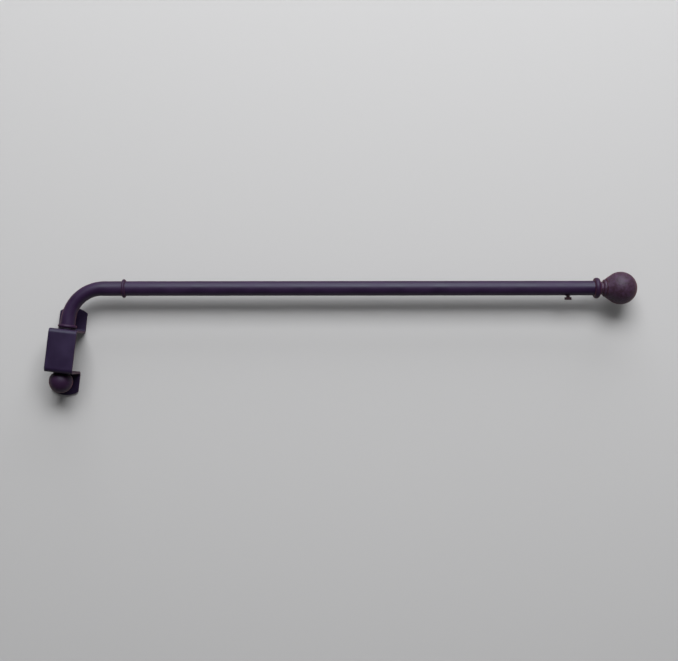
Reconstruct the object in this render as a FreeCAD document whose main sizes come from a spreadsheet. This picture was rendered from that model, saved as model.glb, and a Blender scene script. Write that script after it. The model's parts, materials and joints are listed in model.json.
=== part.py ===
import FreeCAD, Part
import math
import os
import Sketcher

# Swing arm curtain rod, in millimetres. A folded wall bracket carries a pin that a bent tube swings on.
# The origin is midway between the two wall screws, on the wall. The rod leaves along +X, +Z runs up the
# bracket, and the whole object lies on the -Y side of the wall.

# Driving dimensions. Lengths are in millimetres, angles in degrees.
SIZES = {
    # Folded bracket
    "strip_width": 30.0,
    "strip_thickness": 2.6,
    "fold_radius": 2.0,
    "bracket_height": 47.0,
    "bracket_depth": 44.0,
    "ear_length": 25.0,
    "ear_arch_radius": 25.0,
    "ear_corner_radius": 1.8,
    "strip_edge_radius": 0.4,
    "wall_screw_spacing": 72.0,
    "wall_screw_hole": 5.0,
    "countersink_diameter": 8.2,
    "countersink_angle": 90.0,
    "pivot_depth": 24.0,
    # Pivot
    "bush_diameter": 12.0,
    "bush_end": 0.6,
    "flange_diameter": 18.0,
    "flange_thickness": 1.5,
    "pin_diameter": 8.0,
    "pin_in_knob": 12.0,
    "plug_cap": 1.5,
    "washer_diameter": 19.0,
    "washer_thickness": 0.9,
    "knob_diameter": 25.4,
    "knob_flat_diameter": 21.3,
    # Tubes
    "tube_diameter": 16.0,
    "tube_wall": 1.2,
    "foot_length": 9.0,
    "bend_radius": 38.0,
    "bend_angle": 83.5,
    "bend_flattening": 0.07,
    "lead_length": 22.5,
    "rod_length": 511.0,
    "dowel_in_elbow": 21.0,
    "dowel_in_rod": 27.0,
    "dowel_bore": 9.0,
    # Bead collars
    "collar_land": 0.4,
    "collar_width": 3.6,
    "collar_bulge": 1.75,
    # Thumbscrew
    "screw_from_end": 28.5,
    "screw_diameter": 3.8,
    "screw_stem": 1.9,
    "screw_head_diameter": 7.6,
    "screw_head_thickness": 2.9,
    "screw_slot_width": 0.9,
    "screw_slot_depth": 0.8,
    "knurl_depth": 0.3,
    "knurl_count": 24,
    "insert_diameter": 5.2,
    "insert_flange_diameter": 6.2,
    "insert_flange_thickness": 0.3,
    # Finial
    "finial_plug_length": 40.0,
    "stud_diameter": 6.4,
    "stud_in_plug": 14.0,
    "stud_in_ball": 16.0,
    "ring_face_step": 2.2,
    "ring_width": 6.1,
    "ring_bulge": 2.1,
    "neck_diameter": 14.0,
    "cove_radius": 1.2,
    "neck_length": 3.3,
    "bead_width": 3.5,
    "bead_bulge": 1.35,
    "groove_diameter": 18.4,
    "shoulder_diameter": 21.2,
    "flare_diameter": 29.3,
    "ball_diameter": 35.5,
    # Clearances on the radius, and edges
    "assembly_fit": 0.05,
    "turning_fit": 0.05,
    "sliding_fit": 0.1,
    "running_gap": 0.2,
    "edge_break": 0.5,
    "bore_spare": 1.0,
}

# Number of sections that shape the bend, and the tolerance for finding edges by their place
BEND_STATIONS = 5
CLOSE = 1e-4

doc = FreeCAD.newDocument("swing_arm_curtain_rod")
sheet = doc.addObject("Spreadsheet::Sheet", "Sizes")
for row, (alias, number) in enumerate(SIZES.items(), start=1):
    sheet.set(f"A{row}", alias)
    sheet.set(f"B{row}", str(number))
    sheet.setAlias(f"B{row}", alias)
doc.recompute()


class Size:
    """A length or angle that knows its number and the formula that ties it to the sheet."""

    def __init__(self, number, formula):
        self.number = number
        self.formula = formula

    def joined(self, sign, other, number):
        return Size(number, f"({self.formula} {sign} {as_size(other).formula})")

    def __add__(self, other):
        return self.joined("+", other, self.number + as_size(other).number)

    def __sub__(self, other):
        return self.joined("-", other, self.number - as_size(other).number)

    def __mul__(self, other):
        return self.joined("*", other, self.number * as_size(other).number)

    def __truediv__(self, other):
        return self.joined("/", other, self.number / as_size(other).number)

    def __neg__(self):
        return self * -1


def as_size(value):
    return value if isinstance(value, Size) else Size(float(value), f"{value}")


def sine(angle):
    return Size(math.sin(math.radians(angle.number)), f"sin({angle.formula})")


def cosine(angle):
    return Size(math.cos(math.radians(angle.number)), f"cos({angle.formula})")


def other_leg(long_side, leg):
    """Second leg of the right-angled triangle with this long side and first leg."""
    number = math.sqrt(long_side.number ** 2 - leg.number ** 2)
    return Size(number, f"sqrt({long_side.formula} ^ 2 - {leg.formula} ^ 2)")


def arc_radius(across, along, bulge):
    """Radius of the arc that stands out by the bulge from a chord of these two legs."""
    return ((across * across + along * along) / 4 + bulge * bulge) / (bulge * 2)


def size(alias):
    return Size(float(SIZES[alias]), f"Sizes.{alias}")


def bind(target, name, value):
    target.setExpression(name, as_size(value).formula)


def new_body(name, x=0, y=0, z=0, tilt=None):
    """A piece with its place, and its tilt about Y, tied to the sheet."""
    body = doc.addObject("PartDesign::Body", name)
    body.Label = name
    if tilt is not None:
        body.Placement.Rotation = FreeCAD.Rotation(FreeCAD.Vector(0, 1, 0), tilt.number)
        bind(body, "Placement.Rotation.Angle", tilt)
    for axis, value in zip("xyz", (x, y, z)):
        bind(body, f"Placement.Base.{axis}", value)
    return body


def origin_plane(body, role):
    return [plane for plane in body.Origin.OriginFeatures if plane.Role == role][0]


def new_sketch(body, name, plane, offset=0):
    """A sketch on one of the piece's own origin planes, moved along its normal by the offset."""
    sketch = body.newObject("Sketcher::SketchObject", name)
    sketch.AttachmentSupport = [(origin_plane(body, plane), "")]
    sketch.MapMode = "FlatFace"
    bind(sketch, "AttachmentOffset.Base.z", offset)
    return sketch


def dimension(sketch, kind, places, value):
    """A dimension of the sketch, tied to the sheet."""
    index = sketch.addConstraint(Sketcher.Constraint(kind, *places, value.number))
    bind(sketch, f"Constraints[{index}]", value)


def pin_point(sketch, edge, end, u, v):
    """Ties one end of an edge to its place from the sketch's origin."""
    for kind, value, axis in (("DistanceX", u, -2), ("DistanceY", v, -1)):
        if value.formula == "0":
            sketch.addConstraint(Sketcher.Constraint("PointOnObject", edge, end, axis))
        else:
            dimension(sketch, kind, (-1, 1, edge, end), value)


def round_corner(previous, corner, following, radius):
    """The two ends of a round between two edges that each run along an axis of the sketch."""
    ends = []
    for neighbour in (previous, following):
        shifted = []
        for here, there in zip(corner, neighbour):
            step = there.number - here.number
            direction = 0 if abs(step) < CLOSE else math.copysign(1, step)
            shifted.append(here + radius * direction if direction else here)
        ends.append(shifted)
    return ends


def outline(sketch, corners):
    """Draws a closed outline. A corner is (u, v), (u, v, "round", radius), or (u, v, "arc", radius, turn)
    for an arc that leads to it, with turn 1 for an arc that runs anticlockwise."""
    places = [(as_size(corner[0]), as_size(corner[1])) for corner in corners]
    points = []
    for number, corner in enumerate(corners):
        kind = corner[2] if len(corner) > 2 else "sharp"
        if kind == "round":
            around = places[number - 1], places[(number + 1) % len(places)]
            first, last = round_corner(around[0], places[number], around[1], corner[3])
            turn = turn_at(around[0], places[number], around[1])
            points.append((*first, None, 0))
            points.append((*last, as_size(corner[3]), turn))
        elif kind == "arc":
            points.append((*places[number], as_size(corner[3]), corner[4]))
        else:
            points.append((*places[number], None, 0))
    edges = []
    for number, (u, v, radius, turn) in enumerate(points):
        start_u, start_v = points[number - 1][:2]
        start = FreeCAD.Vector(start_u.number, start_v.number, 0)
        end = FreeCAD.Vector(u.number, v.number, 0)
        if radius is None:
            edges.append((sketch.addGeometry(Part.LineSegment(start, end)), 1, 2))
        elif turn > 0:
            edges.append((sketch.addGeometry(arc_between(start, end, radius.number)), 1, 2))
        else:
            edges.append((sketch.addGeometry(arc_between(end, start, radius.number)), 2, 1))
    for number, (u, v, radius, turn) in enumerate(points):
        edge, first, last = edges[number]
        following, its_first, its_last = edges[(number + 1) % len(edges)]
        sketch.addConstraint(Sketcher.Constraint("Coincident", edge, last, following, its_first))
        pin_point(sketch, edge, last, u, v)
        if radius is not None:
            dimension(sketch, "Radius", (edge,), radius)


def turn_at(previous, corner, following):
    """1 where the outline turns left at the corner and -1 where it turns right."""
    ahead = [there.number - here.number for here, there in zip(previous, corner)]
    after = [there.number - here.number for here, there in zip(corner, following)]
    return math.copysign(1, ahead[0] * after[1] - ahead[1] * after[0])


def arc_between(start, end, radius):
    """The shorter arc that runs anticlockwise from start to end."""
    chord = end - start
    rise = math.sqrt(max(radius ** 2 - chord.Length ** 2 / 4, 0))
    centre = (start + end) / 2 + FreeCAD.Vector(-chord.y, chord.x, 0).normalize() * rise
    circle = Part.Circle(centre, FreeCAD.Vector(0, 0, 1), radius)
    from_angle = math.atan2(start.y - centre.y, start.x - centre.x)
    to_angle = math.atan2(end.y - centre.y, end.x - centre.x)
    return Part.ArcOfCircle(circle, from_angle, to_angle)


def circle(sketch, u, v, diameter):
    """A circle with its centre and diameter tied to the sheet."""
    u, v, diameter = as_size(u), as_size(v), as_size(diameter)
    centre = FreeCAD.Vector(u.number, v.number, 0)
    round_edge = Part.Circle(centre, FreeCAD.Vector(0, 0, 1), diameter.number / 2)
    edge = sketch.addGeometry(round_edge)
    pin_point(sketch, edge, 3, u, v)
    dimension(sketch, "Diameter", (edge,), diameter)


def oval(sketch, wide, narrow):
    """A circle or ellipse about the sketch's origin, with its width and height tied to the sheet."""
    middle = FreeCAD.Vector(0, 0, 0)
    if wide.number - narrow.number < CLOSE:
        circle(sketch, 0, 0, wide)
        return
    side = FreeCAD.Vector(wide.number / 2, 0, 0)
    top = FreeCAD.Vector(0, narrow.number / 2, 0)
    edge = sketch.addGeometry(Part.Ellipse(side, top, middle))
    sketch.exposeInternalGeometry(edge)
    sketch.addConstraint(Sketcher.Constraint("Coincident", edge, 3, -1, 1))
    sketch.addConstraint(Sketcher.Constraint("Horizontal", edge + 1))
    dimension(sketch, "Distance", (edge + 1,), wide)
    dimension(sketch, "Distance", (edge + 2,), narrow)


def feature(body, kind, name, profile, **settings):
    """A feature made from a sketch, with sizes tied to the sheet and other settings as given."""
    made = body.newObject(f"PartDesign::{kind}", name)
    made.Profile = profile
    for setting, value in settings.items():
        if isinstance(value, Size):
            bind(made, setting, value)
        else:
            setattr(made, setting, value)
    return made


def turned(body, corners, name="profile"):
    """Turns a profile of (radius, height) corners about the piece's own Z axis."""
    sketch = new_sketch(body, name, "XZ_Plane")
    outline(sketch, corners)
    return feature(body, "Revolution", f"{name}_turned", sketch, ReferenceAxis=(sketch, ["V_Axis"]))


def edges_of(target):
    """Each edge's name, its middle point and the vector from its first end to its last."""
    found = []
    for number, edge in enumerate(target.Shape.Edges, start=1):
        middle = edge.valueAt((edge.FirstParameter + edge.LastParameter) / 2)
        along = edge.Vertexes[-1].Point - edge.Vertexes[0].Point
        found.append((f"Edge{number}", middle, along))
    return found


# Heights along the pivot axis, measured from the middle of the bracket
arm_outside = size("bracket_height") / 2
arm_inside = arm_outside - size("strip_thickness")
flange_face = arm_outside + size("flange_thickness")
turning_face = flange_face + size("running_gap")
bend_start = turning_face + size("foot_length")
plug_top = bend_start - size("edge_break")
pin_top = plug_top - size("plug_cap")
knob_top = -turning_face - size("washer_thickness")
pin_bottom = knob_top - size("pin_in_knob")
pivot_y = -size("pivot_depth")

# Radii of the tube, of the pin, and of what fits in and round them
tube_radius = size("tube_diameter") / 2
tube_bore = tube_radius - size("tube_wall")
plug_radius = tube_bore - size("assembly_fit")
pin_radius = size("pin_diameter") / 2
pin_seat = pin_radius + size("assembly_fit")
stud_radius = size("stud_diameter") / 2
stud_seat = stud_radius + size("assembly_fit")
edge_break = size("edge_break")


def along_rod(distance):
    """Place of the point on the rod's axis at this distance past the joint of elbow and rod."""
    angle = size("bend_angle")
    reach = size("lead_length") + distance
    x = size("bend_radius") * (as_size(1) - cosine(angle)) + reach * sine(angle)
    z = bend_start + size("bend_radius") * sine(angle) + reach * cosine(angle)
    return {"x": x, "y": pivot_y, "z": z, "tilt": angle}


def wall_bracket():
    """One strip folded to a hat section: two ears on the wall, two arms and the front between them."""
    body = new_body("wall_bracket")
    thick = size("strip_thickness")
    deep = size("bracket_depth")
    tip = arm_outside + size("ear_length")
    inner = size("fold_radius")
    outer = inner + thick
    section = new_sketch(body, "hat_section", "YZ_Plane")
    outline(section, [
        (-thick, tip),
        (-thick, arm_outside, "round", inner),
        (-deep, arm_outside, "round", outer),
        (-deep, -arm_outside, "round", outer),
        (-thick, -arm_outside, "round", inner),
        (-thick, -tip),
        (0, -tip),
        (0, -arm_inside, "round", outer),
        (thick - deep, -arm_inside, "round", inner),
        (thick - deep, arm_inside, "round", inner),
        (0, arm_inside, "round", outer),
        (0, tip),
    ])
    feature(body, "Pad", "folded_strip", section, SideType="Symmetric", Length=size("strip_width"))

    # Arched end of the upper ear
    half = size("strip_width") / 2
    shoulder = tip - size("ear_arch_radius") + other_leg(size("ear_arch_radius"), half)
    spare = thick
    arch = new_sketch(body, "ear_arch", "XZ_Plane")
    outline(arch, [
        (-half, shoulder),
        (half, shoulder, "arc", size("ear_arch_radius"), -1),
        (half + spare, shoulder),
        (half + spare, tip + spare),
        (-half - spare, tip + spare),
        (-half - spare, shoulder),
    ])
    arch_cut = feature(body, "Pocket", "ear_arch_cut", arch, Type="ThroughAll", SideType="Symmetric")

    # Countersunk hole of the upper wall screw
    screw = new_sketch(body, "wall_screw", "XZ_Plane", thick)
    circle(screw, 0, size("wall_screw_spacing") / 2, size("wall_screw_hole"))
    doc.recompute()
    hole = feature(body, "Hole", "wall_screw_hole", screw, Diameter=size("wall_screw_hole"))
    hole.DepthType = "ThroughAll"
    hole.HoleCutType = "Countersink"
    hole.HoleCutCustomValues = True
    bind(hole, "HoleCutDiameter", size("countersink_diameter"))
    bind(hole, "HoleCutCountersinkAngle", size("countersink_angle"))

    # The lower ear mirrors the upper one
    mirrored = body.newObject("PartDesign::Mirrored", "lower_ear")
    mirrored.Originals = [arch_cut, hole]
    mirrored.MirrorPlane = (origin_plane(body, "XY_Plane"), [""])
    body.Tip = mirrored

    # Holes of the two bushes
    pivot = new_sketch(body, "bush_holes", "XY_Plane")
    circle(pivot, 0, pivot_y, size("bush_diameter") + size("assembly_fit") * 2)
    pivot_cut = feature(body, "Pocket", "bush_hole_cut", pivot, Type="ThroughAll", SideType="Symmetric")
    doc.recompute()

    # Soft corners where the arches meet the sides of the strip
    fillet = body.newObject("PartDesign::Fillet", "ear_corners")
    fillet.Base = (pivot_cut, [
        name for name, middle, along in edges_of(pivot_cut)
        if abs(abs(middle.x) - half.number) < CLOSE and abs(abs(middle.z) - shoulder.number) < CLOSE
        and abs(along.y) > CLOSE])
    bind(fillet, "Radius", size("ear_corner_radius"))
    doc.recompute()

    # Rounded long edges of the strip
    rounding = body.newObject("PartDesign::Fillet", "strip_edges")
    rounding.Base = (fillet, [
        name for name, middle, along in edges_of(fillet)
        if abs(abs(middle.x) - half.number) < CLOSE and abs(along.x) < CLOSE
        and max(abs(along.y), abs(along.z)) > thick.number + CLOSE])
    bind(rounding, "Radius", size("strip_edge_radius"))


def bush(name, turned_over):
    """Flanged bush in one arm. The lower one is the same piece turned over."""
    body = new_body(name, y=pivot_y)
    if turned_over:
        body.Placement.Rotation = FreeCAD.Rotation(FreeCAD.Vector(1, 0, 0), 180)
    bore = pin_radius + size("turning_fit")
    sleeve = size("bush_diameter") / 2
    rim = size("flange_diameter") / 2
    turned(body, [
        (bore, arm_inside - size("bush_end")),
        (sleeve, arm_inside - size("bush_end")),
        (sleeve, arm_outside),
        (rim, arm_outside),
        (rim, flange_face, "round", edge_break),
        (bore, flange_face),
    ])


def pivot_plug():
    """Plug in the foot of the elbow, flush with its end, with a blind bore for the pin."""
    turned(new_body("pivot_plug", y=pivot_y), [
        (pin_seat, turning_face),
        (plug_radius, turning_face),
        (plug_radius, plug_top - edge_break),
        (plug_radius - edge_break, plug_top),
        (0, plug_top),
        (0, pin_top),
        (pin_seat, pin_top),
    ])


def round_bar(body, radius, bottom, top):
    """Plain bar with a chamfer at each end."""
    turned(body, [
        (0, bottom),
        (radius - edge_break, bottom),
        (radius, bottom + edge_break),
        (radius, top - edge_break),
        (radius - edge_break, top),
        (0, top),
    ])


def elbow_tube():
    """Bent tube. Its foot turns on the upper bush, its lead meets the rod, and the bend is a little oval."""
    body = new_body("elbow_tube", y=pivot_y)
    bend = size("bend_radius")
    angle = size("bend_angle")
    foot = new_sketch(body, "foot_section", "XY_Plane", turning_face)
    circle(foot, 0, 0, tube_radius * 2)
    circle(foot, 0, 0, tube_bore * 2)
    feature(body, "Pad", "foot", foot, Length=size("foot_length"))

    # Axis of the bend
    path = new_sketch(body, "bend_path", "XZ_Plane")
    start = FreeCAD.Vector(0, bend_start.number, 0)
    end_u = bend * (as_size(1) - cosine(angle))
    end_v = bend_start + bend * sine(angle)
    arc = path.addGeometry(arc_between(FreeCAD.Vector(end_u.number, end_v.number, 0), start, bend.number))
    pin_point(path, arc, 2, as_size(0), bend_start)
    pin_point(path, arc, 1, end_u, end_v)
    dimension(path, "Radius", (arc,), bend)

    # Sections across the bend, round at its ends and nearly as narrow all along its middle
    sections = []
    for station in range(BEND_STATIONS):
        turn = angle * (station / (BEND_STATIONS - 1))
        narrowing = size("bend_flattening") * math.sqrt(abs(math.sin(math.pi * station / (BEND_STATIONS - 1))))
        section = new_sketch(body, f"bend_section_{station}", "XY_Plane")
        x = bend * (as_size(1) - cosine(turn))
        z = bend_start + bend * sine(turn)
        lean = f"rotation(vector(0; 1; 0); {turn.formula}) * rotation(vector(0; 0; 1); 90)"
        section.setExpression("AttachmentOffset", f"placement(vector({x.formula}; 0; {z.formula}); {lean})")
        for inset in (as_size(0), size("tube_wall") * 2):
            wide = size("tube_diameter") - inset
            narrow = size("tube_diameter") * (as_size(1) - narrowing) - inset
            oval(section, wide, narrow)
        sections.append(section)
    feature(body, "AdditivePipe", "bend", sections[0], Spine=(path, ["Edge1"]),
            Sections=[(section, [""]) for section in sections[1:]],
            Transformation="Multisection", Mode="Frenet")
    feature(body, "Pad", "lead", sections[-1], Length=size("lead_length"))


def bead_collar(name, **place):
    """Half-round bead ring, slipped over the tube."""
    inside = tube_radius + size("assembly_fit")
    land = inside + size("collar_land")
    half = size("collar_width") / 2
    turned(new_body(name, **place), [
        (inside, -half),
        (land, -half),
        (land, half, "arc", arc_radius(as_size(0), size("collar_width"), size("collar_bulge")), 1),
        (inside, half),
    ])


def joint_dowel():
    """Sleeve that joins elbow and rod from inside."""
    bottom = -size("dowel_in_elbow")
    top = size("dowel_in_rod")
    bore = size("dowel_bore") / 2
    turned(new_body("joint_dowel", **along_rod(as_size(0))), [
        (bore, bottom),
        (plug_radius - edge_break, bottom),
        (plug_radius, bottom + edge_break),
        (plug_radius, top - edge_break),
        (plug_radius - edge_break, top),
        (bore, top),
    ])


def rod_tube():
    """Plain tube with one hole in its underside for the threaded insert."""
    body = new_body("rod_tube", **along_rod(as_size(0)))
    section = new_sketch(body, "tube_section", "XY_Plane")
    circle(section, 0, 0, tube_radius * 2)
    circle(section, 0, 0, tube_bore * 2)
    feature(body, "Pad", "tube", section, Length=size("rod_length"))
    hole = new_sketch(body, "insert_hole", "YZ_Plane")
    circle(hole, 0, size("rod_length") - size("screw_from_end"), size("insert_diameter") + size("assembly_fit") * 2)
    feature(body, "Pocket", "insert_hole_cut", hole, Length=tube_radius * 2, Reversed=True)


def screw_place():
    """Place on the rod's axis above the thumbscrew, with Z pointing out through the underside."""
    place = along_rod(size("rod_length") - size("screw_from_end"))
    place["tilt"] = place["tilt"] + 90
    return place


def screw_insert():
    """Threaded insert: a saddle flange on the tube, and a sleeve through its wall."""
    body = new_body("screw_insert", **screw_place())
    flange = new_sketch(body, "flange_outline", "XY_Plane")
    circle(flange, 0, 0, size("insert_flange_diameter"))
    flange_top = tube_radius + size("insert_flange_thickness")
    feature(body, "Pad", "flange", flange, Length=flange_top)
    saddle = new_sketch(body, "tube_outline", "YZ_Plane")
    circle(saddle, 0, 0, (tube_radius + size("assembly_fit")) * 2)
    feature(body, "Pocket", "saddle", saddle, Type="ThroughAll", SideType="Symmetric")
    sleeve = new_sketch(body, "sleeve_outline", "XY_Plane", tube_bore)
    circle(sleeve, 0, 0, size("insert_diameter"))
    feature(body, "Pad", "sleeve", sleeve, Length=flange_top - tube_bore)
    bore = new_sketch(body, "bore_outline", "XY_Plane")
    circle(bore, 0, 0, size("screw_diameter") + size("turning_fit") * 2)
    feature(body, "Pocket", "bore", bore, Type="ThroughAll", SideType="Symmetric")


def thumbscrew():
    """Small knurled screw with a slotted head. Its tip stops just short of the finial's plug."""
    body = new_body("thumbscrew", **screw_place())
    stem = size("screw_diameter") / 2
    head = size("screw_head_diameter") / 2
    under_head = tube_radius + size("screw_stem")
    head_top = under_head + size("screw_head_thickness")
    turned(body, [
        (0, tube_bore),
        (stem - edge_break, tube_bore),
        (stem, tube_bore + edge_break),
        (stem, under_head),
        (head, under_head),
        (head, head_top, "round", edge_break),
        (0, head_top),
    ])
    slot = new_sketch(body, "slot_outline", "XY_Plane", head_top)
    side = size("screw_slot_width") / 2
    outline(slot, [(-head, -side), (head, -side), (head, side), (-head, side)])
    feature(body, "Pocket", "slot", slot, Length=size("screw_slot_depth"))

    # Knurl: one V groove along the rim, repeated round it
    groove = new_sketch(body, "knurl_outline", "XY_Plane", under_head)
    reach = size("knurl_depth")
    outline(groove, [(head - reach, 0), (head + reach, -reach * 2), (head + reach, reach * 2)])
    cut = feature(body, "Pocket", "knurl_groove", groove, Length=size("screw_head_thickness"), Reversed=True)
    knurl = body.newObject("PartDesign::PolarPattern", "knurl")
    knurl.Originals = [cut]
    knurl.Axis = (groove, ["N_Axis"])
    knurl.Angle = 360
    bind(knurl, "Occurrences", size("knurl_count"))
    body.Tip = knurl


def washer():
    """Washer between the lower bush and the knob."""
    rim = size("washer_diameter") / 2
    soft = size("washer_thickness") / 3
    turned(new_body("knob_washer", y=pivot_y), [
        (pin_seat, knob_top),
        (rim, knob_top, "round", soft),
        (rim, -turning_face, "round", soft),
        (pin_seat, -turning_face),
    ])


def pivot_knob():
    """Ball on the lower end of the pin, with a flat where it meets the washer."""
    radius = size("knob_diameter") / 2
    flat = size("knob_flat_diameter") / 2
    middle = knob_top - other_leg(radius, flat)
    bore_end = pin_bottom - size("bore_spare")
    turned(new_body("pivot_knob", y=pivot_y), [
        (pin_seat, bore_end),
        (pin_seat, knob_top),
        (flat, knob_top),
        (0, middle - radius, "arc", radius, -1),
        (0, bore_end),
    ])


def finial_plug():
    """Plug that slides in the rod's end, bored for the stud, with a tapered lead."""
    radius = tube_bore - size("sliding_fit")
    length = size("finial_plug_length")
    bore_end = -size("stud_in_plug") - size("bore_spare")
    turned(new_body("finial_plug", **along_rod(size("rod_length"))), [
        (0, -length),
        (radius - edge_break, -length),
        (radius, edge_break * 3 - length),
        (radius, 0),
        (stud_seat, 0),
        (stud_seat, bore_end),
        (0, bore_end),
    ])


def finial_ring():
    """Metal bead ring. Its flat face butts on the rod's end, and it rounds down to the foot of the ball."""
    face = tube_radius + size("ring_face_step")
    foot = size("neck_diameter") / 2 + size("cove_radius")
    width = size("ring_width")
    turned(new_body("finial_ring", **along_rod(size("rod_length"))), [
        (stud_seat, 0),
        (face, 0),
        (foot, width, "arc", arc_radius(face - foot, width, size("ring_bulge")), 1),
        (stud_seat, width),
    ])


def finial_ball():
    """Ball turned in one with its neck, a bead, a groove and the flare that runs into it."""
    foot = size("ring_width")
    cove = size("cove_radius")
    neck = size("neck_diameter") / 2
    first = foot + size("neck_length")
    groove = size("groove_diameter") / 2
    second = first + size("bead_width")
    shoulder = size("shoulder_diameter") / 2
    radius = size("ball_diameter") / 2
    flare = size("flare_diameter") / 2
    from_middle = other_leg(radius, flare)
    flare_end = second + (flare - shoulder) * flare / from_middle
    tip = flare_end + from_middle + radius
    bore_end = foot + size("stud_in_ball") + size("bore_spare")
    bead_arc = arc_radius(groove - neck, size("bead_width"), size("bead_bulge"))
    turned(new_body("finial_ball", **along_rod(size("rod_length"))), [
        (stud_seat, foot),
        (neck + cove, foot),
        (neck, foot + cove, "arc", cove, -1),
        (neck, first),
        (groove, second, "arc", bead_arc, 1),
        (shoulder, second),
        (flare, flare_end),
        (0, tip, "arc", radius, 1),
        (0, bore_end),
        (stud_seat, bore_end),
    ])


def write_parts():
    """Writes one file for each piece, once every object of the model is sound."""
    doc.recompute()
    for item in doc.Objects:
        if "Invalid" in item.State or "Error" in item.State:
            raise RuntimeError(f"{item.Label} is {item.State}")
    bodies = [item for item in doc.Objects if item.TypeId == "PartDesign::Body"]
    for body in bodies:
        if body.Shape.isNull() or not body.Shape.isValid():
            raise RuntimeError(f"{body.Label} has no valid shape")
    os.makedirs("parts", exist_ok=True)
    for body in bodies:
        body.Shape.exportStep(f"parts/{body.Label}.step")


wall_bracket()
bush("top_bush", False)
bush("bottom_bush", True)
elbow_tube()
pivot_plug()
round_bar(new_body("pivot_pin", y=pivot_y), pin_radius, pin_bottom, pin_top)
bead_collar("lower_collar", y=pivot_y, z=turning_face + size("collar_width") / 2)
bead_collar("upper_collar", **along_rod(as_size(0)))
joint_dowel()
rod_tube()
screw_insert()
thumbscrew()
washer()
pivot_knob()
finial_plug()
round_bar(new_body("finial_stud", **along_rod(size("rod_length"))), stud_radius,
          -size("stud_in_plug"), size("ring_width") + size("stud_in_ball"))
finial_ring()
finial_ball()
write_parts()
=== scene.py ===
import json
import math

import bmesh
import bpy
from mathutils import Matrix, Vector


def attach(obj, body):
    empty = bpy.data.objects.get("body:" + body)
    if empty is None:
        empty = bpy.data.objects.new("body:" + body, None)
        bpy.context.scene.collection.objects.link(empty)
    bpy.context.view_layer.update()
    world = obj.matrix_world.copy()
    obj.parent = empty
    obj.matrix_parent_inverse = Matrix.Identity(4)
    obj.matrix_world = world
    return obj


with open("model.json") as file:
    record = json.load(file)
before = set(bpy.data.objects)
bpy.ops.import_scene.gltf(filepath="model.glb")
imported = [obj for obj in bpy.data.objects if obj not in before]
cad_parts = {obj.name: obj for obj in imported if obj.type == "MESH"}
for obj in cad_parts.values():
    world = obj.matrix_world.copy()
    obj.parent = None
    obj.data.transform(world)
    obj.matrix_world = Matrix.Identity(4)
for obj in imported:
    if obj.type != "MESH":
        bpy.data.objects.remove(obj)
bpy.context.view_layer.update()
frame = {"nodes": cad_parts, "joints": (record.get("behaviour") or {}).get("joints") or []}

# Wall bracket
# One steel strip folded to a hat section and painted dark bronze. The paint is thin on its cut sides and
# on the arched ends of its ears, where the copper undercoat shows through.


def new_material(name):
    material = bpy.data.materials.new(name)
    material.use_nodes = True
    return material, material.node_tree.nodes, material.node_tree.links


def wear_group():
    """Where the surface turns sharply, broken up by noise: 1 on a worn edge, 0 on the open face."""
    nearly_flat, fully_worn = 0.995, 0.80
    patch_scale, patch_detail = 320.0, 3.0
    bevel_samples = 4
    group = bpy.data.node_groups.new("edge_wear", "ShaderNodeTree")
    group.interface.new_socket("Width", in_out="INPUT", socket_type="NodeSocketFloat")
    group.interface.new_socket("Amount", in_out="INPUT", socket_type="NodeSocketFloat")
    group.interface.new_socket("Mask", in_out="OUTPUT", socket_type="NodeSocketFloat")
    make, link = group.nodes, group.links
    given = make.new("NodeGroupInput")
    result = make.new("NodeGroupOutput")
    rounded = make.new("ShaderNodeBevel")
    rounded.samples = bevel_samples
    link.new(given.outputs["Width"], rounded.inputs["Radius"])
    true_normal = make.new("ShaderNodeNewGeometry")
    turn = make.new("ShaderNodeVectorMath")
    turn.operation = "DOT_PRODUCT"
    link.new(rounded.outputs["Normal"], turn.inputs[0])
    link.new(true_normal.outputs["Normal"], turn.inputs[1])
    spread = make.new("ShaderNodeMapRange")
    spread.inputs["From Min"].default_value = nearly_flat
    spread.inputs["From Max"].default_value = fully_worn
    link.new(turn.outputs["Value"], spread.inputs["Value"])
    place = make.new("ShaderNodeTexCoord")
    patches = make.new("ShaderNodeTexNoise")
    patches.inputs["Scale"].default_value = patch_scale
    patches.inputs["Detail"].default_value = patch_detail
    link.new(place.outputs["Object"], patches.inputs["Vector"])
    broken = make.new("ShaderNodeMath")
    broken.operation = "MULTIPLY"
    link.new(spread.outputs["Result"], broken.inputs[0])
    link.new(patches.outputs["Fac"], broken.inputs[1])
    scaled = make.new("ShaderNodeMath")
    scaled.operation = "MULTIPLY"
    scaled.use_clamp = True
    link.new(broken.outputs["Value"], scaled.inputs[0])
    link.new(given.outputs["Amount"], scaled.inputs[1])
    link.new(scaled.outputs["Value"], result.inputs["Mask"])
    return group


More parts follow.
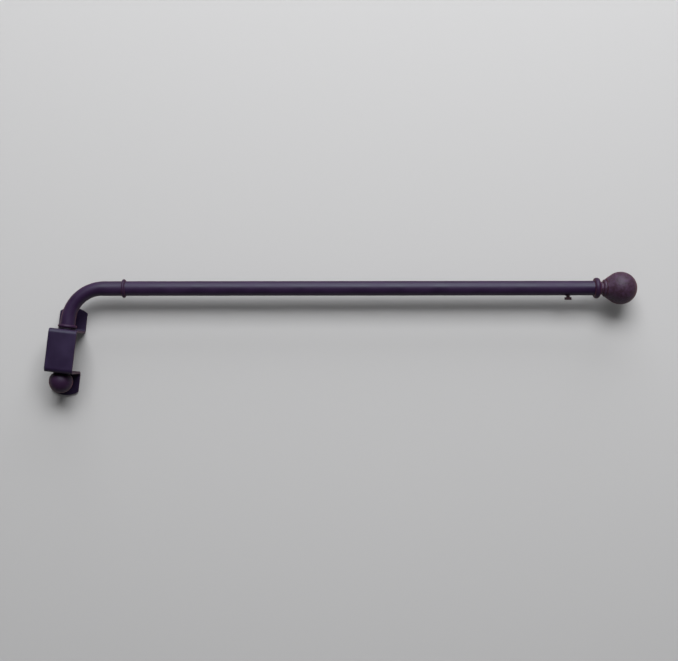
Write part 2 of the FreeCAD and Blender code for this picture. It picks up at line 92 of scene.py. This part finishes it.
def paint_group():
    """Sprayed paint: slow changes of tone, and the fine height of its orange peel."""
    cloud_detail, grain_detail = 4.0, 2.0
    darkest_cloud, lightest_cloud = 0.35, 0.65
    group = bpy.data.node_groups.new("sprayed_paint", "ShaderNodeTree")
    group.interface.new_socket("Cloud Scale", in_out="INPUT", socket_type="NodeSocketFloat")
    group.interface.new_socket("Grain Scale", in_out="INPUT", socket_type="NodeSocketFloat")
    group.interface.new_socket("Tone", in_out="OUTPUT", socket_type="NodeSocketFloat")
    group.interface.new_socket("Height", in_out="OUTPUT", socket_type="NodeSocketFloat")
    make, link = group.nodes, group.links
    given = make.new("NodeGroupInput")
    result = make.new("NodeGroupOutput")
    place = make.new("ShaderNodeTexCoord")
    clouds = make.new("ShaderNodeTexNoise")
    clouds.inputs["Detail"].default_value = cloud_detail
    link.new(place.outputs["Object"], clouds.inputs["Vector"])
    link.new(given.outputs["Cloud Scale"], clouds.inputs["Scale"])
    grain = make.new("ShaderNodeTexNoise")
    grain.inputs["Detail"].default_value = grain_detail
    link.new(place.outputs["Object"], grain.inputs["Vector"])
    link.new(given.outputs["Grain Scale"], grain.inputs["Scale"])
    mottle = make.new("ShaderNodeMapRange")
    mottle.inputs["From Min"].default_value = darkest_cloud
    mottle.inputs["From Max"].default_value = lightest_cloud
    link.new(clouds.outputs["Fac"], mottle.inputs["Value"])
    link.new(mottle.outputs["Result"], result.inputs["Tone"])
    link.new(grain.outputs["Fac"], result.inputs["Height"])
    return group


edge_wear = wear_group()
sprayed_paint = paint_group()


def dark_bronze(name, dark, light, rubbed, roughness, wear_width, wear_amount,
                cloud_scale=45.0, grain_scale=1400.0, relief=0.00004, shine=0.33, sheen=0.20, metallic=0.0):
    """Satin paint: two tones, a dusty warm sheen at glancing angles, and edges rubbed to another colour."""
    smoother, rougher = 0.05, 0.07
    rim_start, rim_end, rim_share = 0.30, 0.75, 0.35
    bump_strength = 0.5
    material, make, link = new_material(name)
    shader = make["Principled BSDF"]
    paint = make.new("ShaderNodeGroup")
    paint.node_tree = sprayed_paint
    paint.inputs["Cloud Scale"].default_value = cloud_scale
    paint.inputs["Grain Scale"].default_value = grain_scale
    tones = make.new("ShaderNodeMix")
    tones.data_type = "RGBA"
    tones.inputs["A"].default_value = (*dark, 1.0)
    tones.inputs["B"].default_value = (*light, 1.0)
    link.new(paint.outputs["Tone"], tones.inputs["Factor"])
    edge = make.new("ShaderNodeGroup")
    edge.node_tree = edge_wear
    edge.inputs["Width"].default_value = wear_width
    edge.inputs["Amount"].default_value = wear_amount
    worn = make.new("ShaderNodeMix")
    worn.data_type = "RGBA"
    worn.inputs["B"].default_value = (*rubbed, 1.0)
    link.new(edge.outputs["Mask"], worn.inputs["Factor"])
    link.new(tones.outputs["Result"], worn.inputs["A"])
    link.new(worn.outputs["Result"], shader.inputs["Base Color"])
    gloss_spread = make.new("ShaderNodeMapRange")
    gloss_spread.inputs["To Min"].default_value = roughness - smoother
    gloss_spread.inputs["To Max"].default_value = roughness + rougher
    link.new(paint.outputs["Tone"], gloss_spread.inputs["Value"])
    link.new(gloss_spread.outputs["Result"], shader.inputs["Roughness"])
    bump = make.new("ShaderNodeBump")
    bump.inputs["Strength"].default_value = bump_strength
    bump.inputs["Distance"].default_value = relief
    link.new(paint.outputs["Height"], bump.inputs["Height"])
    link.new(bump.outputs["Normal"], shader.inputs["Normal"])
    facing = make.new("ShaderNodeLayerWeight")
    duller_rim = make.new("ShaderNodeMapRange")
    duller_rim.inputs["From Min"].default_value = rim_start
    duller_rim.inputs["From Max"].default_value = rim_end
    duller_rim.inputs["To Min"].default_value = shine
    duller_rim.inputs["To Max"].default_value = shine * rim_share
    link.new(facing.outputs["Facing"], duller_rim.inputs["Value"])
    link.new(duller_rim.outputs["Result"], shader.inputs["Specular IOR Level"])
    shader.inputs["Specular Tint"].default_value = (0.78, 0.90, 1.0, 1.0)
    shader.inputs["Sheen Weight"].default_value = sheen
    shader.inputs["Sheen Roughness"].default_value = 0.30
    shader.inputs["Sheen Tint"].default_value = (0.90, 0.28, 0.22, 1.0)
    shader.inputs["Metallic"].default_value = metallic
    return material


def finish_node(name, material):
    part = frame["nodes"][name]
    part.data.materials.clear()
    part.data.materials.append(material)
    for face in part.data.polygons:
        face.material_index = 0


bracket_paint = dark_bronze(
    "bracket_paint", dark=(0.0125, 0.004, 0.024), light=(0.0195, 0.008, 0.036), rubbed=(0.12, 0.038, 0.020),
    roughness=0.48, wear_width=0.0006, wear_amount=0.5, sheen=0.10)
finish_node("wall_bracket", bracket_paint)

# Bushes and washer
# Turned nylon, near black, and its colour is made darker still as painted shade for the shadowed gap under the
# lower collar, where a bush's flange shows. The bushes are pressed into the holes of the bracket's arms, and
# the washer lies between the lower bush and the knob, so that no painted piece turns on another.
# The dark and light tones here sit below the nylon's own near black: painted shade, not the plastic's colour.
bush_plastic_and_shade = dark_bronze(
    "bush_plastic_and_shade", dark=(0.005, 0.003, 0.006), light=(0.009, 0.005, 0.010), rubbed=(0.03, 0.02, 0.02),
    roughness=0.45, wear_width=0.0003, wear_amount=0.4, shine=0.20, sheen=0.0)
for name in ("top_bush", "bottom_bush", "knob_washer"):
    finish_node(name, bush_plastic_and_shade)

# Elbow and rod
# Round steel tube, the one piece bent and the other left straight, joined by a dowel inside. Both are sprayed
# the same dark bronze in one go, so they match across the joint.
tube_paint = dark_bronze(
    "tube_paint", dark=(0.016, 0.0045, 0.026), light=(0.024, 0.008, 0.037), rubbed=(0.12, 0.040, 0.024),
    roughness=0.46, wear_width=0.0004, wear_amount=0.5)
for name in ("elbow_tube", "rod_tube"):
    finish_node(name, tube_paint)

# Collars, ring and knob
# Small turned beads in the same paint, whose high edges have rubbed through to copper. The collars sit on the
# tube, the ring on the finial's stud, and the knob on the lower end of the pin.
collar_paint = dark_bronze(
    "collar_paint", dark=(0.020, 0.006, 0.024), light=(0.029, 0.010, 0.034), rubbed=(0.13, 0.044, 0.024),
    roughness=0.46, wear_width=0.0008, wear_amount=0.35, shine=0.24)
for name in ("lower_collar", "upper_collar", "finial_ring", "pivot_knob"):
    finish_node(name, collar_paint)

# Finial ball
# Moulded in one piece with its neck and bead, and held on the stud. Its finely textured matt coat is browner
# than the tube's paint.
ball_coat = dark_bronze(
    "ball_coat", dark=(0.027, 0.008, 0.018), light=(0.052, 0.023, 0.052), rubbed=(0.11, 0.042, 0.028),
    roughness=0.50, wear_width=0.0008, wear_amount=0.15,
    cloud_scale=330.0, grain_scale=700.0, relief=0.0010, shine=0.34)
finish_node("finial_ball", ball_coat)

# Finial plug
# A moulded sleeve of matt dark plastic that slides into the rod's end and shows only when the finial is
# pulled. The rod's bore has rubbed its corners a little paler.
plug_plastic = dark_bronze(
    "plug_plastic", dark=(0.0065, 0.0055, 0.0065), light=(0.0115, 0.0095, 0.0110), rubbed=(0.045, 0.042, 0.044),
    roughness=0.60, wear_width=0.0004, wear_amount=0.6, shine=0.30, sheen=0.0)
finish_node("finial_plug", plug_plastic)

# Inner pieces
# Pin, pivot plug, dowel and stud are turned from steel bar and left bare. Only the pin shows, between the
# bracket's arms.
bare_steel = dark_bronze(
    "bare_steel", dark=(0.25, 0.24, 0.24), light=(0.36, 0.35, 0.35), rubbed=(0.5, 0.48, 0.46),
    roughness=0.32, wear_width=0.0003, wear_amount=0.5, sheen=0.0, metallic=1.0)
for name in ("pivot_pin", "pivot_plug", "joint_dowel", "finial_stud"):
    finish_node(name, bare_steel)

# Thumbscrew and its insert
# A small turned steel screw with a knurled, slotted head, blackened, in a threaded sleeve set into the rod's
# underside. Its thread is cut into the stem and shows between the sleeve and the head.
screw_black = dark_bronze(
    "screw_black", dark=(0.020, 0.010, 0.016), light=(0.034, 0.020, 0.026), rubbed=(0.16, 0.07, 0.05),
    roughness=0.40, wear_width=0.0002, wear_amount=1.2)
for name in ("thumbscrew", "screw_insert"):
    finish_node(name, screw_black)

THREAD_PITCH = 0.0006
THREAD_TURNS = 2
STEPS_PER_TURN = 24
# Radii of the thread's root and crest, half its width, and how far down the stem it begins
THREAD_ROOT = 0.00184
THREAD_CREST = 0.00212
THREAD_HALF_WIDTH = 0.00022
THREAD_START = 0.00846

turn_joint = [joint for joint in frame["joints"] if joint["name"] == "thumbscrew_turn"][0]
stem_start = Vector(turn_joint["pos_m"])
stem_axis = Vector(turn_joint["axis"]).normalized()
stem_side = stem_axis.cross(Vector((0.0, 1.0, 0.0))).normalized()
thread_mesh = bpy.data.meshes.new("screw_thread")
thread = bmesh.new()
corners = [thread.verts.new(stem_side * radius + stem_axis * (THREAD_START + rise)) for radius, rise in (
    (THREAD_ROOT, -THREAD_HALF_WIDTH), (THREAD_CREST, 0.0), (THREAD_ROOT, THREAD_HALF_WIDTH))]
tooth = thread.faces.new(corners)
bmesh.ops.spin(thread, geom=[*corners, *tooth.edges, tooth], cent=(0.0, 0.0, 0.0), axis=stem_axis,
               dvec=stem_axis * (THREAD_PITCH / STEPS_PER_TURN), angle=math.tau * THREAD_TURNS,
               steps=STEPS_PER_TURN * THREAD_TURNS)
bmesh.ops.translate(thread, vec=stem_start, verts=thread.verts)
bmesh.ops.recalc_face_normals(thread, faces=thread.faces)
thread.to_mesh(thread_mesh)
thread.free()
thread_piece = bpy.data.objects.new("screw_thread", thread_mesh)
bpy.context.scene.collection.objects.link(thread_piece)
thread_mesh.materials.append(screw_black)
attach(thread_piece, "locking_screw")

# Backdrop
# A plain pale wall behind the bracket. Seen from behind it is clear, so that the back of the bracket shows,
# and so it is to rays too short to have come from anything but the ears that lie on it.
WALL_PLACE = (0.29, 0.0004, 0.05)
WALL_SIZE = 6.0
SHORTEST_RAY = 0.002
wall_mesh = bpy.data.meshes.new("backdrop")
wall = bmesh.new()
upright = Matrix.Translation(WALL_PLACE) @ Matrix.Rotation(math.radians(90), 4, "X")
bmesh.ops.create_grid(wall, x_segments=1, y_segments=1, size=WALL_SIZE, matrix=upright)
wall.to_mesh(wall_mesh)
wall.free()
backdrop = bpy.data.objects.new("backdrop", wall_mesh)
bpy.context.scene.collection.objects.link(backdrop)
wall_paint, make, link = new_material("pale_wall")
shader = make["Principled BSDF"]
shader.inputs["Base Color"].default_value = (0.50, 0.50, 0.505, 1.0)
shader.inputs["Roughness"].default_value = 0.9
shader.inputs["Specular IOR Level"].default_value = 0.1
clear = make.new("ShaderNodeBsdfTransparent")
side = make.new("ShaderNodeNewGeometry")
path = make.new("ShaderNodeLightPath")
touching = make.new("ShaderNodeMath")
touching.operation = "LESS_THAN"
touching.inputs[1].default_value = SHORTEST_RAY
link.new(path.outputs["Ray Length"], touching.inputs[0])
open_wall = make.new("ShaderNodeMath")
open_wall.operation = "MAXIMUM"
link.new(side.outputs["Backfacing"], open_wall.inputs[0])
link.new(touching.outputs["Value"], open_wall.inputs[1])
choice = make.new("ShaderNodeMixShader")
link.new(open_wall.outputs["Value"], choice.inputs["Fac"])
link.new(shader.outputs["BSDF"], choice.inputs[1])
link.new(clear.outputs["BSDF"], choice.inputs[2])
link.new(choice.outputs["Shader"], make["Material Output"].inputs["Surface"])
wall_mesh.materials.append(wall_paint)

# Light
# One wide soft lamp above the camera, a weaker one overhead that lights the top of every round, and a plain
# pale surround that fills the shadows.
LAMP_TARGET = Vector((0.29, 0.0, 0.10))


def soft_lamp(name, offset, width, height, energy, spread=180.0):
    data = bpy.data.lights.new(name, "AREA")
    data.shape = "RECTANGLE"
    data.size = width
    data.size_y = height
    data.energy = energy
    data.spread = math.radians(spread)
    lamp = bpy.data.objects.new(name, data)
    bpy.context.scene.collection.objects.link(lamp)
    lamp.location = LAMP_TARGET + Vector(offset)
    lamp.rotation_euler = (LAMP_TARGET - lamp.location).to_track_quat("-Z", "Y").to_euler()


soft_lamp("front_lamp", offset=(0.0, -2.00, 1.62), width=2.3, height=1.15, energy=82.0)
soft_lamp("overhead_lamp", offset=(0.0, -0.70, 2.20), width=2.3, height=0.9, energy=12.5, spread=110.0)

# The half of the surround that the wall hides from the front is brighter, so that the object's back is lit
# when it is seen from behind. The camera itself sees a plain pale grey past the wall's edge.
FRONT_FILL = 0.12
BACK_FILL = 0.75
SEEN_GREY = 0.55
world = bpy.data.worlds.new("surround")
world.use_nodes = True
make, link = world.node_tree.nodes, world.node_tree.links
direction = make.new("ShaderNodeTexCoord")
axes = make.new("ShaderNodeSeparateXYZ")
link.new(direction.outputs["Generated"], axes.inputs["Vector"])
behind = make.new("ShaderNodeMath")
behind.operation = "GREATER_THAN"
behind.inputs[1].default_value = 0.0
link.new(axes.outputs["Y"], behind.inputs[0])
fill = make.new("ShaderNodeMapRange")
fill.inputs["To Min"].default_value = FRONT_FILL
fill.inputs["To Max"].default_value = BACK_FILL
link.new(behind.outputs["Value"], fill.inputs["Value"])
ray = make.new("ShaderNodeLightPath")
seen = make.new("ShaderNodeMix")
seen.data_type = "FLOAT"
seen.inputs["B"].default_value = SEEN_GREY
link.new(ray.outputs["Is Camera Ray"], seen.inputs["Factor"])
link.new(fill.outputs["Result"], seen.inputs["A"])
link.new(seen.outputs["Result"], make["Background"].inputs["Strength"])
make["Background"].inputs["Color"].default_value = (1.0, 1.0, 1.0, 1.0)
bpy.context.scene.world = world

# Camera
# It looks almost squarely at the wall from a little below the rod. It is rolled by nearly the rod's slope, so
# the rod lies level in the picture and the bracket leans.
CAMERA_PLACE = Vector((0.2854, -1.2139, 0.0234))
CAMERA_TARGET = Vector((0.2930, 0.0, 0.0560))
CAMERA_ROLL = math.radians(6.41)
camera_data = bpy.data.cameras.new("camera")
camera_data.sensor_width = 36.0
camera_data.lens = 58.21
camera = bpy.data.objects.new("camera", camera_data)
bpy.context.scene.collection.objects.link(camera)
aim = (CAMERA_TARGET - CAMERA_PLACE).to_track_quat("-Z", "Y").to_matrix().to_4x4()
camera.matrix_world = Matrix.Translation(CAMERA_PLACE) @ aim @ Matrix.Rotation(CAMERA_ROLL, 4, "Z")
bpy.context.scene.camera = camera
bpy.context.scene.view_settings.view_transform = "Standard"
